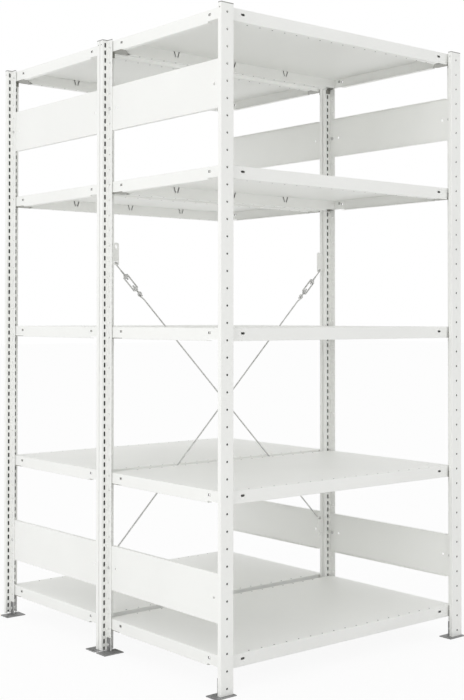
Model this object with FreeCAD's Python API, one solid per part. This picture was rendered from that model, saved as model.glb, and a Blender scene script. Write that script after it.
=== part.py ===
import FreeCAD, Part
import math
import os
from FreeCAD import Vector

# Double sided boltless library shelving: two equal bays stand back to back.
# Millimetres, +Z up. While it is being built, u runs along the bay from the left
# posts' outer edge, v runs from the front aisle face to the rear aisle face, and z
# is the height above the floor. ORIGIN_U and ORIGIN_V then move the middle of the
# footprint to the origin.

# ---- overall ----
HEIGHT = 2000.0
LENGTH = 1064.0
BAY_DEPTH = 631.0
BAY_GAP = 3.0
BAY_STEP = BAY_DEPTH + BAY_GAP
TOTAL_DEPTH = BAY_DEPTH + BAY_STEP

# ---- posts: hollow flange box with a folded double web ----
FLANGE_W = 48.0
FLANGE_T = 15.0
WALL = 1.5
WEB_OUTER = 20.4
WEB_INNER = 24.0
WEB_END = 39.0
POST_BEND_R = 2.0
WEB_BEND_R = 1.7
SLOT_U = 11.0
SLOT_W = 6.6
SLOT_H = 16.0
SLOT_PITCH = 25.0
SLOT_Z0 = 7.0
SLOT_COUNT = 80
HOLE_PITCH = 50.0
HOLE_Z0 = 22.0
HOLE_COUNT = 40
FACE_HOLE_R = 3.4
WEB_HOLE_R = 3.3
WEB_HOLE_V = 28.0
SIDE_HOLE_R = 2.4
SIDE_HOLE_V = 6.5
SIDE_HOLE_DROP = 16.0

# ---- foot plates ----
FOOT_T = 3.0
FOOT_LEFT = 24.0
FOOT_RIGHT = 2.0
FOOT_FRONT = 12.0
FOOT_DEPTH = 50.0
FOOT_BACK_SET = 71.0
FOOT_EAR_T = 2.5
FOOT_EAR_H = 45.0
ANCHOR_HOLE_R = 4.0
ANCHOR_U = -15.0
ANCHOR_V = 16.0

# ---- shelves ----
SHELF_TOPS = (1995.0, 1532.0, 1057.0, 582.0, 107.0)
SHELF_END = 26.0
SHELF_SET = 20.5
SHELF_T = 1.2
SHELF_H = 38.5
SHELF_BEND_R = 2.0
BEAM_W = 24.0
LIP_SHORT = 16.0
DOT_R = 2.2
DOT_PITCH = 50.0
DOT_COUNT = 17
TOP_DOT_IN = 10.5
BOTTOM_DOT_IN = 18.5
SLIT_PITCH = 250.0
SLIT_TOP = 8.9
SLIT_FOOT = 2.6
SLIT_W = 3.6
SLIT_LOW = 20.0
OVAL_L = 15.0
OVAL_W = 7.0
OVAL_DROP = 16.0
OVAL_NEAR = 74.0
OVAL_FAR = 64.0
END_HOLE_L = 10.0
END_HOLE_W = 6.4
END_HOLE_NEAR = 64.5
END_HOLE_FAR = 67.0
END_HOLE_DROP = 14.5
# Two opposite corners have a deep notch and a tab, the other two a wide, shallow notch.
DEEP_NOTCH_U = 47.0
DEEP_NOTCH_V = 73.0
DEEP_NOTCH_H = 5.5
WIDE_NOTCH_U = 64.0
WIDE_NOTCH_V = 72.0
WIDE_NOTCH_H = 3.3
NOTCH_WALL_U = 21.5
TAB_HOLE_V = 47.5
TAB_HOLE_W = 11.0
TAB_HOLE_H = 9.0
TAB_HOLE_DROP = 11.0

# ---- shelf clips ----
CLIP_T = 2.0
CLIP_GAP = 0.3
CLIP_U0 = 27.2
CLIP_U1 = 46.8
CLIP_TOP_DROP = 17.0
CLIP_FOOT = 5.0
NARROW_LEDGE_V = 34.0
WIDE_LEDGE_U = 87.0
WIDE_LEDGE_U1 = 66.0
WIDE_LEDGE_V = 88.0
WIDE_LEDGE_V0 = 22.2
WIDE_LEDGE_V1 = 40.0
WIDE_LEDGE_BACK = 76.0
WIDE_LEDGE_NOSE = 12.0
HOOK_W = 5.0
HOOK_DROP = 6.0
HOOK_NECK_H = 6.0
HOOK_T = 1.9
# A square-edged hook stops this far above the bottom of a round-ended slot.
HOOK_SEAT = (SLOT_W - math.sqrt(SLOT_W ** 2 - HOOK_W ** 2)) / 2

# ---- end-frame side panels ----
PANEL_T = 1.2
PANEL_H = 145.0
PANEL_FOLD = 12.0
PANEL_FOLD_SET = 25.0
PANEL_BEND_R = 2.0
PANEL_CENTRES = {"upper": 1772.0, "lower": 272.0}
PANEL_CLEAR = 0.5
PANEL_HOLE_V = 61.0
PANEL_HOLE_R = 4.0
SCREW_HOLE_R = 3.2

# ---- screws and nuts, M6 ----
SCREW_R = 3.0
HEAD_R = 5.5
HEAD_T = 3.4
NUT_AF = 10.0
NUT_T = 5.0
SCREW_PAST = 1.5

# ---- cross brace in the gap between the bays ----
PLATE_T = 2.5
PLATE_U0 = 8.0
PLATE_U1 = 77.0
PLATE_END = 10.0
PLATE_SHOULDER = 6.0
PLATE_NOSE = 14.0
NOSE_U = 56.0
NOSE_R = 7.5
PLATE_HOLES_Z = {"upper": (1272.0, 1322.0), "lower": (322.0, 272.0)}
STUD_R = 3.0
STUD_REACH = 2.2
KEY_U = 64.0
KEY_DROP = 1.5
KEY_W = 19.0
KEY_H = 7.0
EYELET_U = 66.0
EYELET_W = 7.5
EYELET_H = 14.0
EYELET_PAST = 1.0
# A brace line runs from the upper plate's key slot to the lower plate's; s is
# measured down it from the upper slot.
ROD_R = 2.5
ROD_OFF = 6.0
HOOK_TAIL = 9.0
THREAD_R = 3.0
HOOK_THREAD_S = 38.0
HOOK_ROD_END = 78.0
FRAME_S0 = 62.0
FRAME_S1 = 124.0
FRAME_W = 22.0
FRAME_V = 8.0
FRAME_BAR = 3.5
FRAME_END = 5.5
FRAME_R = 4.0
FRAME_BORE_R = 3.3
FRAME_GAP = 0.3
LOCK_NUT_T = 4.5
EYE_SHANK_S = 106.0
EYE_S = 146.0
EYE_R = 6.5
EYE_BAR_R = 2.5
LINK_R = 6.2
LINK_RUN = 12.0
LINK_EASE_R = 14.0

ORIGIN_U = (LENGTH + FOOT_RIGHT - FOOT_LEFT) / 2
ORIGIN_V = (TOTAL_DEPTH - FOOT_FRONT) / 2

# Each row of posts: its outer flange face, and the way its web points.
ROWS = {
    "front_aisle": (0.0, 1),
    "front_inner": (BAY_DEPTH, -1),
    "rear_inner": (BAY_STEP, 1),
    "rear_aisle": (TOTAL_DEPTH, -1),
}
SIDES = ("left", "right")
BAYS = {"front": 0.0, "rear": BAY_STEP}

MIDDLE_U = LENGTH / 2
MIDDLE_V = BAY_DEPTH + BAY_GAP / 2


def block(u0, u1, v0, v1, z0, z1):
    """Box between two corners."""
    return Part.makeBox(u1 - u0, v1 - v0, z1 - z0, Vector(u0, v0, z0))


def rod(radius, length, start, direction):
    """Round bar that starts at a point and runs along a direction."""
    return Part.makeCylinder(radius, length, start, direction)


def oval_prism(length, width, depth, centre, upright=False):
    """Round-ended slot, long along u or upright, that runs depth mm along v."""
    reach = (length - width) / 2
    middle = block(-reach, reach, 0, depth, -width / 2, width / 2)
    ends = [rod(width / 2, depth, Vector(u, 0, 0), Vector(0, 1, 0)) for u in (-reach, reach)]
    shape = middle.fuse(ends).removeSplitter()
    if upright:
        shape.rotate(Vector(0, 0, 0), Vector(0, 1, 0), 90)
    shape.translate(centre)
    return shape


def hexagon(across_flats, thickness, start, direction):
    """Hexagonal nut blank that starts at a point and runs along a direction."""
    radius = across_flats / math.sqrt(3)
    turns = [math.radians(60 * i) for i in range(7)]
    points = [Vector(radius * math.cos(a), radius * math.sin(a), 0) for a in turns]
    prism = Part.Face(Part.makePolygon(points)).extrude(Vector(0, 0, thickness))
    prism.Placement = FreeCAD.Placement(start, FreeCAD.Rotation(Vector(0, 0, 1), direction))
    return prism


def extrude_uv(points, z0, thickness):
    """Outline in the u-v plane, made thickness mm high from z0."""
    outline = [Vector(u, v, z0) for u, v in points + points[:1]]
    return Part.Face(Part.makePolygon(outline)).extrude(Vector(0, 0, thickness))


def rounded_edges(shape, radius, length, wanted):
    """Rounds the edges of one length whose middle passes the wanted test."""
    edges = [
        edge for edge in shape.Edges
        if abs(edge.Length - length) < 0.001 and wanted(edge.CenterOfMass)
    ]
    return shape.makeFillet(radius, edges)


def mirrored_u(shape):
    """The same piece on the other end of the bay."""
    return shape.mirror(Vector(MIDDLE_U, 0, 0), Vector(1, 0, 0))


def placed(shape, side, face, facing):
    """Moves a piece of the left front post's corner to another post's corner."""
    if facing < 0:
        shape = shape.mirror(Vector(0, 0, 0), Vector(0, 1, 0))
    if side == "right":
        shape = mirrored_u(shape)
    moved = shape.copy()
    moved.translate(Vector(0, face, 0))
    return moved


def export(name, solids):
    """Writes one node, with its solids as they lie in the finished frame."""
    shape = Part.makeCompound(solids) if len(solids) > 1 else solids[0]
    shape = shape.copy()
    shape.translate(Vector(-ORIGIN_U, -ORIGIN_V, 0))
    shape.exportStep("parts/" + name + ".step")


# ---- posts ----

def post():
    """Flange box of a T-shaped post, perforated, and slotted on both sides of its web."""
    bottom = FOOT_T
    height = HEIGHT - bottom
    flange = block(0, FLANGE_W, 0, FLANGE_T, bottom, HEIGHT)
    flange = rounded_edges(flange, POST_BEND_R, height, lambda middle: True)
    hollow = Part.makeBox(
        FLANGE_W - 2 * WALL, FLANGE_T - 2 * WALL, height, Vector(WALL, WALL, bottom)
    )
    tools = [hollow]
    back = Vector(0, FLANGE_T - WALL - 1, 0)
    slot = oval_prism(SLOT_H, SLOT_W, WALL + 2, back, upright=True)
    for index in range(SLOT_COUNT):
        for u in (SLOT_U, FLANGE_W - SLOT_U):
            cutter = slot.copy()
            cutter.translate(Vector(u, 0, SLOT_Z0 + SLOT_PITCH * index))
            tools.append(cutter)
    for index in range(HOLE_COUNT):
        start = Vector(FLANGE_W / 2, -1, HOLE_Z0 + HOLE_PITCH * index)
        tools.append(rod(FACE_HOLE_R, WALL + 2, start, Vector(0, 1, 0)))
    side_start = Vector(-1, SIDE_HOLE_V, HEIGHT - SIDE_HOLE_DROP)
    tools.append(rod(SIDE_HOLE_R, FLANGE_W + 2, side_start, Vector(1, 0, 0)))
    return flange.cut(tools)


def post_web():
    """Folded double web of a T-shaped post, which stands on the back of its flange box."""
    web = block(WEB_OUTER, WEB_INNER, FLANGE_T, WEB_END, FOOT_T, HEIGHT)
    web = rounded_edges(web, WEB_BEND_R, HEIGHT - FOOT_T, lambda middle: middle.y > WEB_END - 1)
    starts = [
        Vector(WEB_OUTER - 1, WEB_HOLE_V, HOLE_Z0 + HOLE_PITCH * index)
        for index in range(HOLE_COUNT)
    ]
    reach = WEB_INNER - WEB_OUTER + 2
    return web.cut([rod(WEB_HOLE_R, reach, start, Vector(1, 0, 0)) for start in starts])


# ---- feet ----

def foot(side, face, facing):
    """Steel foot plate with an ear that is screwed to the web's left side."""
    left = 0.0 if side == "left" else LENGTH - FLANGE_W
    front = face - FOOT_FRONT if facing > 0 else face - FOOT_BACK_SET
    base = block(left - FOOT_LEFT, left + FLANGE_W + FOOT_RIGHT, front, front + FOOT_DEPTH, 0, FOOT_T)
    anchor = rod(
        ANCHOR_HOLE_R, FOOT_T + 2, Vector(left + ANCHOR_U, front + ANCHOR_V, -1), Vector(0, 0, 1)
    )
    base = base.cut(anchor)
    web_face = WEB_OUTER if side == "left" else LENGTH - WEB_INNER
    v0 = face + FLANGE_T + 1 if facing > 0 else face - WEB_END + 1
    v1 = front + FOOT_DEPTH
    ear = block(web_face - FOOT_EAR_T, web_face, v0, v1, FOOT_T, FOOT_EAR_H)
    hole_v = face + facing * WEB_HOLE_V
    hole_start = Vector(web_face - FOOT_EAR_T - 1, hole_v, HOLE_Z0)
    hole = rod(WEB_HOLE_R, FOOT_EAR_T + 2, hole_start, Vector(1, 0, 0))
    return base.fuse(ear).removeSplitter().cut(hole)


# ---- shelves ----

def slit_pair(v):
    """A pair of slits, close at the foot and wide at the top, through one beam wall."""
    slits = []
    for way in (-1, 1):
        corners = [
            (way * SLIT_TOP, -SHELF_T), (way * (SLIT_TOP + SLIT_W), -SHELF_T),
            (way * (SLIT_FOOT + SLIT_W), -SLIT_LOW), (way * SLIT_FOOT, -SLIT_LOW),
        ]
        outline = [Vector(u, v, z) for u, z in corners + corners[:1]]
        slits.append(Part.Face(Part.makePolygon(outline)).extrude(Vector(0, SHELF_T + 2, 0)))
    return slits


def corner_notch(reach_u, reach_v, rise):
    """Space under one shelf corner; the beam's outer wall is open behind the post only."""
    u0 = SHELF_END
    v0 = SHELF_SET
    low = -SHELF_H - 1
    inside = block(u0 - 1, u0 + reach_u, v0 + SHELF_T, v0 + reach_v, low, rise - SHELF_H)
    outside = block(u0 - 1, u0 + NOTCH_WALL_U, v0 - 1, v0 + SHELF_T + 1, low, rise - SHELF_H)
    return inside.fuse(outside)


def corner_tab():
    """Doubling plate inside the end lip, from the beam to the end of the deep notch."""
    u0 = SHELF_END + SHELF_T
    v0 = SHELF_SET
    low = DEEP_NOTCH_H - SHELF_H
    plate = block(u0, u0 + SHELF_T, v0 + BEAM_W, v0 + DEEP_NOTCH_V, low, -SHELF_T)
    hole_v = v0 + TAB_HOLE_V - TAB_HOLE_W / 2
    hole_z = -TAB_HOLE_DROP - TAB_HOLE_H / 2
    hole = block(u0 - 1, u0 + SHELF_T + 1, hole_v, hole_v + TAB_HOLE_W, hole_z, hole_z + TAB_HOLE_H)
    return plate.cut(hole)


def end_hole(v):
    """Oval hole through the left end lip, and through a corner tab where there is one."""
    hole = oval_prism(END_HOLE_L, END_HOLE_W, 2 * SHELF_T + 2, Vector(0, 0, 0))
    hole.rotate(Vector(0, 0, 0), Vector(0, 0, 1), -90)
    hole.translate(Vector(SHELF_END - 1, v, -END_HOLE_DROP))
    return hole


def half_turned(shape):
    """The same shape at the opposite corner of the bay."""
    turned = shape.copy()
    turned.rotate(Vector(MIDDLE_U, BAY_DEPTH / 2, 0), Vector(0, 0, 1), 180)
    return turned


def shelf():
    """Folded steel shelf of one bay, with its top face at z = 0.

    Both long edges are folded into closed box beams, and both ends have one lip."""
    u0 = SHELF_END
    u1 = LENGTH - SHELF_END
    v0 = SHELF_SET
    v1 = BAY_DEPTH - SHELF_SET
    low = -SHELF_H
    body = block(u0, u1, v0, v1, low, 0)
    body = body.makeFillet(SHELF_BEND_R, [edge for edge in body.Edges if edge.Length > SHELF_H + 1])
    under = block(
        u0 + SHELF_T, u1 - SHELF_T, v0 + BEAM_W, v1 - BEAM_W, low + SHELF_T, -SHELF_T
    )
    mouth = block(u0 + LIP_SHORT, u1 - LIP_SHORT, v0 + BEAM_W, v1 - BEAM_W, low - 1, -SHELF_T)
    beams = [
        block(u0 + SHELF_T, u1 - SHELF_T, v, v + BEAM_W - 2 * SHELF_T, low + SHELF_T, -SHELF_T)
        for v in (v0 + SHELF_T, v1 - BEAM_W + SHELF_T)
    ]
    tools = []
    first = MIDDLE_U - DOT_PITCH * (DOT_COUNT - 1) / 2
    for index in range(DOT_COUNT):
        u = first + DOT_PITCH * index
        for v in (v0 + TOP_DOT_IN, v1 - TOP_DOT_IN):
            tools.append(rod(DOT_R, SHELF_T + 2, Vector(u, v, -SHELF_T - 1), Vector(0, 0, 1)))
        for v in (v0 + BOTTOM_DOT_IN, v1 - BOTTOM_DOT_IN):
            tools.append(rod(DOT_R, SHELF_T + 2, Vector(u, v, low - 1), Vector(0, 0, 1)))
    # Everything off centre matches when the shelf is turned half round.
    ovals = (
        (u0 + OVAL_NEAR, v0 - 1), (u1 - OVAL_FAR, v0 - 1),
        (u1 - OVAL_NEAR, v1 - SHELF_T - 1), (u0 + OVAL_FAR, v1 - SHELF_T - 1),
    )
    for u, v in ovals:
        tools.append(oval_prism(OVAL_L, OVAL_W, SHELF_T + 2, Vector(u, v, -OVAL_DROP)))
    for v in (v0 + BEAM_W - SHELF_T - 1, v1 - BEAM_W - 1):
        for step in (-1, 0, 1):
            for slit in slit_pair(v):
                slit.translate(Vector(MIDDLE_U + SLIT_PITCH * step, 0, 0))
                tools.append(slit)
    deep = corner_notch(DEEP_NOTCH_U, DEEP_NOTCH_V, DEEP_NOTCH_H)
    wide = mirrored_u(corner_notch(WIDE_NOTCH_U, WIDE_NOTCH_V, WIDE_NOTCH_H))
    notches = [deep, half_turned(deep), wide, half_turned(wide)]
    tab = corner_tab()
    near_hole = end_hole(v0 + END_HOLE_NEAR)
    far_hole = end_hole(v1 - END_HOLE_FAR)
    end_holes = [near_hole, half_turned(near_hole), far_hole, half_turned(far_hole)]
    sheet = body.cut([under, mouth] + beams).cut(Part.makeCompound(tools)).cut(notches)
    return sheet.fuse([tab, half_turned(tab)]).removeSplitter().cut(end_holes)


# ---- clips ----

def clip(drop, wide):
    """Shelf clip of the left front post, for a shelf whose top is at z = 0.

    drop is how far the centre of the clip's slot lies below the shelf's top. A wide
    clip's ledge fills the shallow notch, and a narrow one's carries the deep notch."""
    v0 = FLANGE_T + CLIP_GAP
    v1 = v0 + CLIP_T
    slot_top = SLOT_H / 2 - drop
    slot_foot = -SLOT_H / 2 - drop
    plate = block(CLIP_U0, CLIP_U1, v0, v1, slot_foot - CLIP_FOOT, slot_top)
    rise = WIDE_NOTCH_H if wide else DEEP_NOTCH_H
    ledge_top = rise - SHELF_H - CLIP_GAP
    outline = [
        (CLIP_U0, v1), (CLIP_U1, v1), (CLIP_U1, NARROW_LEDGE_V), (CLIP_U0, NARROW_LEDGE_V),
    ]
    if wide:
        outline = [
            (CLIP_U0, v1), (CLIP_U1, v1), (CLIP_U1, WIDE_LEDGE_V0),
            (WIDE_LEDGE_U1, WIDE_LEDGE_V0), (WIDE_LEDGE_U, WIDE_LEDGE_V1),
            (CLIP_U0 + WIDE_LEDGE_NOSE, WIDE_LEDGE_V), (CLIP_U0, WIDE_LEDGE_BACK),
        ]
    ledge = extrude_uv(outline, ledge_top - CLIP_T, CLIP_T)
    hook_u = FLANGE_W - SLOT_U
    leg_v1 = FLANGE_T - WALL - CLIP_GAP
    leg_v0 = leg_v1 - HOOK_T
    seat = slot_foot + HOOK_SEAT
    hook_u0 = hook_u - HOOK_W / 2
    hook_u1 = hook_u + HOOK_W / 2
    neck = block(hook_u0, hook_u1, leg_v0, v0, seat, seat + HOOK_NECK_H)
    leg = block(hook_u0, hook_u1, leg_v0, leg_v1, seat - HOOK_DROP, seat)
    return plate.fuse([ledge, neck, leg]).removeSplitter()


def clip_drop(top):
    """How far the slot that a shelf's clips hook into lies below the shelf's top."""
    least = CLIP_TOP_DROP + SLOT_H / 2
    steps = math.floor((top - least - SLOT_Z0) / SLOT_PITCH)
    return top - (SLOT_Z0 + steps * SLOT_PITCH)


def clips(top, bay_v):
    """The four clips under one shelf, narrow at the two corners with the deep notch."""
    drop = clip_drop(top)
    solids = []
    for side in SIDES:
        for face, facing in ((bay_v, 1), (bay_v + BAY_DEPTH, -1)):
            deep = (side == "left") == (facing > 0)
            piece = placed(clip(drop, not deep), side, face, facing)
            piece.translate(Vector(0, 0, top))
            solids.append(piece)
    return solids


# ---- side panels ----

def side_panel():
    """Folded cover strip between the webs of a left end frame, centred at z = 0."""
    u0 = WEB_INNER
    v0 = FLANGE_T + PANEL_CLEAR
    v1 = BAY_DEPTH - FLANGE_T - PANEL_CLEAR
    half = PANEL_H / 2
    strip = block(u0, u0 + PANEL_FOLD, v0, v1, -half, half)
    strip = rounded_edges(
        strip, PANEL_BEND_R, v1 - v0, lambda middle: abs(middle.x - u0) < 0.001
    )
    back = block(
        u0 + PANEL_T, u0 + PANEL_FOLD + 1, v0 - 1, v1 + 1, -half + PANEL_T, half - PANEL_T
    )
    ends = [
        block(u0 + PANEL_BEND_R, u0 + PANEL_FOLD + 1, v, v + PANEL_FOLD_SET, -half - 1, half + 1)
        for v in (v0, v1 - PANEL_FOLD_SET)
    ]
    panel = strip.cut([back] + ends)
    holes = [
        (PANEL_HOLE_R, PANEL_HOLE_V), (PANEL_HOLE_R, BAY_DEPTH - PANEL_HOLE_V),
        (SCREW_HOLE_R, WEB_HOLE_V), (SCREW_HOLE_R, BAY_DEPTH - WEB_HOLE_V),
    ]
    tools = [rod(r, PANEL_T + 2, Vector(u0 - 1, v, 0), Vector(1, 0, 0)) for r, v in holes]
    return panel.cut(Part.makeCompound(tools))


# ---- screws and nuts ----

def screw(head_u, grip_end, v, z):
    """Round-head screw along u: head outside head_u, thread past grip_end."""
    way = 1 if grip_end > head_u else -1
    axis = Vector(way, 0, 0)
    head = rod(HEAD_R, HEAD_T, Vector(head_u - way * HEAD_T, v, z), axis)
    shank = rod(SCREW_R, abs(grip_end - head_u) + NUT_T + SCREW_PAST, Vector(head_u, v, z), axis)
    return head.fuse(shank).removeSplitter()


def nut(face_u, way, v, z):
    """Hexagonal nut whose bearing face is at face_u."""
    axis = Vector(way, 0, 0)
    blank = hexagon(NUT_AF, NUT_T, Vector(face_u, v, z), axis)
    bore = rod(SCREW_R, NUT_T + 2, Vector(face_u - way, v, z), axis)
    return blank.cut(bore)


def screws_and_nuts():
    """Every screw and nut of the panels and of the feet."""
    screws = []
    nuts = []
    for face, facing in ROWS.values():
        v = face + facing * WEB_HOLE_V
        for z in PANEL_CENTRES.values():
            grip = WEB_INNER + PANEL_T
            screws.append(screw(WEB_OUTER, grip, v, z))
            nuts.append(nut(grip, 1, v, z))
            screws.append(mirrored_u(screw(WEB_OUTER, grip, v, z)))
            nuts.append(mirrored_u(nut(grip, 1, v, z)))
        left_head = WEB_OUTER - FOOT_EAR_T
        screws.append(screw(left_head, WEB_INNER, v, HOLE_Z0))
        nuts.append(nut(WEB_INNER, 1, v, HOLE_Z0))
        right_head = LENGTH - WEB_INNER - FOOT_EAR_T
        right_end = LENGTH - WEB_OUTER
        screws.append(screw(right_head, right_end, v, HOLE_Z0))
        nuts.append(nut(right_end, 1, v, HOLE_Z0))
    return screws, nuts


# ---- cross brace ----

def key_point(level, side):
    """Middle of a brace plate's key slot, in u and z."""
    near_z, far_z = PLATE_HOLES_Z[level]
    way = 1 if far_z > near_z else -1
    u = KEY_U if side == "left" else LENGTH - KEY_U
    return u, near_z - way * KEY_DROP


def brace_plate(level, eyelet_in_nose):
    """Left brace plate, held between the inner posts by studs in their face holes.

    Past the far stud the plate narrows to a round nose, with or without an eyelet."""
    near_z, far_z = PLATE_HOLES_Z[level]
    way = 1 if far_z > near_z else -1
    low = near_z - way * PLATE_END
    high = far_z + way * PLATE_NOSE
    v0 = MIDDLE_V - PLATE_T / 2
    plate = block(PLATE_U0, PLATE_U1, v0, v0 + PLATE_T, min(low, high), max(low, high))
    heights = sorted([far_z + way * PLATE_SHOULDER, high + way])
    plate = plate.cut(block(PLATE_U0 - 1, NOSE_U, v0 - 1, v0 + PLATE_T + 1, *heights))
    plate = rounded_edges(
        plate, NOSE_R, PLATE_T, lambda middle: abs(middle.z - high) < 0.001
    )
    key_u, key_z = key_point(level, "left")
    key = block(
        key_u - KEY_W / 2, key_u + KEY_W / 2, v0 - 1, v0 + PLATE_T + 1,
        key_z - KEY_H / 2, key_z + KEY_H / 2,
    )
    plate = plate.cut(key)
    if eyelet_in_nose:
        centre = Vector(EYELET_U, v0 - 1, far_z + way * EYELET_PAST)
        plate = plate.cut(oval_prism(EYELET_H, EYELET_W, PLATE_T + 2, centre, upright=True))
    reach = PLATE_T + 2 * STUD_REACH
    studs = [
        rod(STUD_R, reach, Vector(FLANGE_W / 2, v0 - STUD_REACH, z), Vector(0, 1, 0))
        for z in (near_z, far_z)
    ]
    return plate.fuse(studs).removeSplitter()


KEY_TOP = key_point("upper", "left")
KEY_LOW = key_point("lower", "right")
LINE_LENGTH = math.dist(KEY_TOP, KEY_LOW)
LINE_U = (KEY_LOW[0] - KEY_TOP[0]) / LINE_LENGTH
LINE_Z = (KEY_LOW[1] - KEY_TOP[1]) / LINE_LENGTH
LINE_AXIS = Vector(LINE_U, 0, LINE_Z)


def line_point(s, off):
    """A point s mm down the brace line, off mm along v from the middle of the gap."""
    return Vector(KEY_TOP[0] + LINE_U * s, MIDDLE_V + off, KEY_TOP[1] + LINE_Z * s)


def bent_rod(radius, corners, bends):
    """Round bar along straight runs that tangent arcs of the given radii join."""
    points = [line_point(s, off) for s, off in corners]
    edges = []
    start = points[0]
    for before, corner, after, bend in zip(points, points[1:], points[2:], bends):
        arrive = (corner - before).normalize()
        leave = (after - corner).normalize()
        turn = arrive.getAngle(leave)
        reach = bend * math.tan(turn / 2)
        first = corner - arrive * reach
        last = corner + leave * reach
        inward = (leave - arrive).normalize()
        middle = corner + inward * (bend / math.cos(turn / 2) - bend)
        if (first - start).Length > 0.001:
            edges.append(Part.LineSegment(start, first).toShape())
        edges.append(Part.Arc(first, middle, last).toShape())
        start = last
    edges.append(Part.LineSegment(start, points[-1]).toShape())
    ring = Part.Wire(Part.makeCircle(radius, points[0], points[1] - points[0]))
    return Part.Wire(edges).makePipeShell([ring], True, True)


def hook_rod():
    """Short rod, hooked through the upper plate and threaded into the turnbuckle."""
    corners = [(HOOK_TAIL, -ROD_OFF), (0, -ROD_OFF), (0, ROD_OFF), (HOOK_THREAD_S + 1, ROD_OFF)]
    hook = bent_rod(ROD_R, corners, [ROD_OFF, ROD_OFF])
    length = HOOK_ROD_END - HOOK_THREAD_S
    thread = rod(THREAD_R, length, line_point(HOOK_THREAD_S, ROD_OFF), LINE_AXIS)
    return hook.fuse(thread)


def turnbuckle():
    """Open turnbuckle frame around the brace line."""
    length = FRAME_S1 - FRAME_S0
    solid = Part.makeBox(FRAME_W, FRAME_V, length, Vector(-FRAME_W / 2, -FRAME_V / 2, 0))
    solid = rounded_edges(solid, FRAME_R, FRAME_V, lambda middle: True)
    window = Part.makeBox(
        FRAME_W - 2 * FRAME_BAR, FRAME_V + 2, length - 2 * FRAME_END,
        Vector(-FRAME_W / 2 + FRAME_BAR, -FRAME_V / 2 - 1, FRAME_END),
    )
    bore = rod(FRAME_BORE_R, length + 2, Vector(0, 0, -1), Vector(0, 0, 1))
    frame = solid.cut([window, bore])
    turn = FreeCAD.Rotation(Vector(0, 0, 1), LINE_AXIS)
    frame.Placement = FreeCAD.Placement(line_point(FRAME_S0, ROD_OFF), turn)
    return frame


def eye_bolt():
    """Threaded eye at the turnbuckle's lower end."""
    ring = Part.makeTorus(EYE_R, EYE_BAR_R, line_point(EYE_S, ROD_OFF), Vector(0, 1, 0))
    length = EYE_S - EYE_R - EYE_SHANK_S
    shank = rod(THREAD_R, length, line_point(EYE_SHANK_S, ROD_OFF), LINE_AXIS)
    return ring.fuse(shank).removeSplitter()


def lock_nuts():
    """Nuts on the threads just outside the turnbuckle's two ends."""
    starts = (FRAME_S0 - FRAME_GAP - LOCK_NUT_T, FRAME_S1 + FRAME_GAP)
    nuts = []
    for s in starts:
        blank = hexagon(NUT_AF, LOCK_NUT_T, line_point(s, ROD_OFF), LINE_AXIS)
        bore = rod(THREAD_R, LOCK_NUT_T + 2, line_point(s - 1, ROD_OFF), LINE_AXIS)
        nuts.append(blank.cut(bore))
    return nuts


def long_rod():
    """Long brace rod: looped through the eye, then hooked through the lower plate."""
    near = ROD_OFF - LINK_R
    far = ROD_OFF + LINK_R
    corners = [
        (EYE_S + HOOK_TAIL, near), (EYE_S, near), (EYE_S, far),
        (EYE_S + LINK_RUN, far), (EYE_S + 2 * LINK_RUN, ROD_OFF),
        (LINE_LENGTH, ROD_OFF), (LINE_LENGTH, -ROD_OFF), (LINE_LENGTH - HOOK_TAIL, -ROD_OFF),
    ]
    return bent_rod(ROD_R, corners, [LINK_R, LINK_R, LINK_EASE_R, LINK_EASE_R, ROD_OFF, ROD_OFF])


def other_brace(shape):
    """The second brace line crosses the first one on the other side of the middle."""
    turned = shape.copy()
    turned.rotate(Vector(MIDDLE_U, MIDDLE_V, 0), Vector(0, 0, 1), 180)
    return turned


# ---- the whole object ----

def build():
    os.makedirs("parts", exist_ok=True)
    one_post = post()
    one_web = post_web()
    webs = []
    for row, (face, facing) in ROWS.items():
        for side in SIDES:
            export("post_" + row + "_" + side, [placed(one_post, side, face, facing)])
            export("foot_" + row + "_" + side, [foot(side, face, facing)])
            webs.append(placed(one_web, side, face, facing))
    export("post_webs", webs)

    one_shelf = shelf()
    for bay, bay_v in BAYS.items():
        for level, top in enumerate(SHELF_TOPS, start=1):
            piece = one_shelf.copy()
            piece.translate(Vector(0, bay_v, top))
            export("shelf_" + bay + "_" + str(level), [piece])
            export("clips_" + bay + "_" + str(level), clips(top, bay_v))

    one_panel = side_panel()
    for height, centre in PANEL_CENTRES.items():
        for bay, bay_v in BAYS.items():
            for side in SIDES:
                piece = placed(one_panel, side, bay_v, 1)
                piece.translate(Vector(0, 0, centre))
                export("side_panel_" + height + "_" + bay + "_" + side, [piece])

    screws, nuts = screws_and_nuts()
    export("frame_screws", screws)
    export("frame_nuts", nuts)

    # Three of the four plates have the eyelet; the upper right one is plain.
    for height in PLATE_HOLES_Z:
        export("brace_plate_" + height + "_left", [brace_plate(height, True)])
        right = mirrored_u(brace_plate(height, height == "lower"))
        export("brace_plate_" + height + "_right", [right])

    for name, shape in (
        ("brace_hook_rod", hook_rod()),
        ("turnbuckle", turnbuckle()),
        ("brace_eye_bolt", eye_bolt()),
        ("brace_long_rod", long_rod()),
    ):
        export(name + "_a", [shape])
        export(name + "_b", [other_brace(shape)])
    first_nuts = lock_nuts()
    export("turnbuckle_nuts", first_nuts + [other_brace(piece) for piece in first_nuts])


build()
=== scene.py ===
import math

import bpy
import numpy as np
from bpy.props import FloatProperty, FloatVectorProperty, PointerProperty
from bpy.types import Operator, Panel, PropertyGroup
from mathutils import Matrix, Vector


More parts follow.
